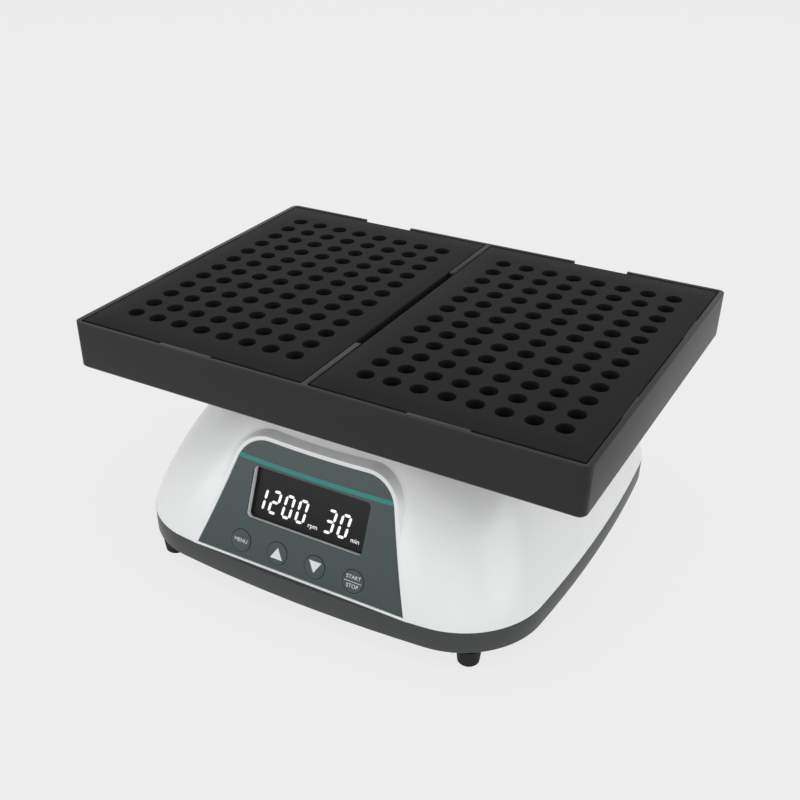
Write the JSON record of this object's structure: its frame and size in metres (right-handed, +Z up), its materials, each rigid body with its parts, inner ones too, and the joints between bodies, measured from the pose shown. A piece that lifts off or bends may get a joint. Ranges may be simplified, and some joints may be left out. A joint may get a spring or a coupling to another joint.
{
  "type": "microplate shaker",
  "caption": "Bench microplate shaker: an orbiting tray with lift-out well inserts on a flared base with a sloping control panel, keys and display.",
  "frame": {"origin": "on the surface that the feet stand on, under the motor shaft, at the middle of the base", "axes": "+Z up; the control panel faces -Y; +X is to the right of someone who faces the panel"},
  "size_m": [0.178, 0.153, 0.082],
  "materials": {
    "housing_white": "satin moulded",
    "base_dark": "fine texture",
    "rubber_black": "matt",
    "screw_steel": "zinc plated",
    "plate_aluminium": "cast and faced",
    "motor_steel": "plated",
    "bearing_steel": "ground",
    "overlay_film": "printed film",
    "lens_black": "tinted window",
    "board_green": "solder mask",
    "module_grey": "moulded",
    "component_black": "moulded",
    "tray_black": "matt black coat",
    "insert_black": "matt",
    "key_film": "printed film",
    "bush_plastic": "self lubricating",
    "switch_black": "moulded"
  },
  "bodies": {
    "base": {"top_housing": "housing_white", "base_tray": "base_dark", "rubber_feet": "rubber_black", "case_screws": "screw_steel", "support_pillars": "screw_steel", "pillar_screws": "screw_steel", "drive_plate": "plate_aluminium", "motor_housing": "motor_steel", "motor_stator": "motor_steel", "motor_bearings": "bearing_steel", "motor_screws": "screw_steel", "idler_bearings": "bearing_steel", "panel_overlay": "overlay_film", "display_lens": "lens_black", "display_module": "module_grey", "display_board": "board_green", "keypad_board": "board_green", "panel_screws": "screw_steel", "tact_switches": "component_black", "main_board": "board_green", "board_screws": "screw_steel", "board_components": "component_black", "power_inlet": "switch_black", "inlet_nut": "screw_steel", "rocker_frame": "switch_black", "rocker_pin": "screw_steel"},
    "crank": {"motor_shaft": "bearing_steel", "motor_rotor": "motor_steel", "crank_hub": "bearing_steel", "hub_set_screw": "screw_steel", "balance_weight": "motor_steel", "weight_screws": "screw_steel"},
    "platform": {"carrier_plate": "plate_aluminium", "platform_bearing": "bearing_steel", "bearing_clip": "bearing_steel", "idler_bushes": "bush_plastic", "platform_tray": "tray_black", "tray_screws": "screw_steel"},
    "idler_back_right": {"idler_crank_back_right": "bearing_steel"},
    "idler_back_left": {"idler_crank_back_left": "bearing_steel"},
    "idler_front_left": {"idler_crank_front_left": "bearing_steel"},
    "idler_front_right": {"idler_crank_front_right": "bearing_steel"},
    "insert_left": {"well_insert_left": "insert_black"},
    "insert_right": {"well_insert_right": "insert_black"},
    "menu_key": {"button_menu": "key_film"},
    "up_key": {"button_up": "key_film"},
    "down_key": {"button_down": "key_film"},
    "start_stop_key": {"button_start_stop": "key_film"},
    "rocker": {"power_rocker": "switch_black"}
  },
  "joints": [
    {"name": "crank_spin", "type": "hinge", "parent": "base", "child": "crank", "pos_m": [0, 0, 0.05], "axis": [0, 0, 1], "continuous": true},
    {"name": "platform_orbit", "type": "hinge", "parent": "crank", "child": "platform", "pos_m": [0, -0.0015, 0.06], "axis": [0, 0, 1], "continuous": true},
    {"name": "idler_back_right_spin", "type": "hinge", "parent": "base", "child": "idler_back_right", "pos_m": [0.035, 0.033, 0.045], "axis": [0, 0, 1], "continuous": true},
    {"name": "idler_back_left_spin", "type": "hinge", "parent": "base", "child": "idler_back_left", "pos_m": [-0.035, 0.033, 0.045], "axis": [0, 0, 1], "continuous": true},
    {"name": "idler_front_left_spin", "type": "hinge", "parent": "base", "child": "idler_front_left", "pos_m": [-0.035, -0.033, 0.045], "axis": [0, 0, 1], "continuous": true},
    {"name": "idler_front_right_spin", "type": "hinge", "parent": "base", "child": "idler_front_right", "pos_m": [0.035, -0.033, 0.045], "axis": [0, 0, 1], "continuous": true},
    {"name": "insert_left_lift", "type": "slide", "parent": "platform", "child": "insert_left", "axis": [0, 0, 1], "range_m": [0, 0.02]},
    {"name": "insert_right_lift", "type": "slide", "parent": "platform", "child": "insert_right", "axis": [0, 0, 1], "range_m": [0, 0.02]},
    {"name": "menu_press", "type": "slide", "parent": "base", "child": "menu_key", "axis": [0, 0.9252, -0.3795], "range_m": [0, 0.0005], "stiffness_N_per_m": 1000},
    {"name": "up_press", "type": "slide", "parent": "base", "child": "up_key", "axis": [0, 0.9252, -0.3795], "range_m": [0, 0.0005], "stiffness_N_per_m": 1000},
    {"name": "down_press", "type": "slide", "parent": "base", "child": "down_key", "axis": [0, 0.9252, -0.3795], "range_m": [0, 0.0005], "stiffness_N_per_m": 1000},
    {"name": "start_stop_press", "type": "slide", "parent": "base", "child": "start_stop_key", "axis": [0, 0.9252, -0.3795], "range_m": [0, 0.0005], "stiffness_N_per_m": 1000},
    {"name": "power_rocker_tilt", "type": "hinge", "parent": "base", "child": "rocker", "pos_m": [0.015, 0.0538, 0.0325], "axis": [0, 0, 1], "range_deg": [-18, 0]}
  ],
  "couplings": [
    {"joint": "platform_orbit", "follows": "crank_spin", "ratio": -1},
    {"joint": "idler_back_right_spin", "follows": "crank_spin", "ratio": 1},
    {"joint": "idler_back_left_spin", "follows": "crank_spin", "ratio": 1},
    {"joint": "idler_front_left_spin", "follows": "crank_spin", "ratio": 1},
    {"joint": "idler_front_right_spin", "follows": "crank_spin", "ratio": 1}
  ]
}
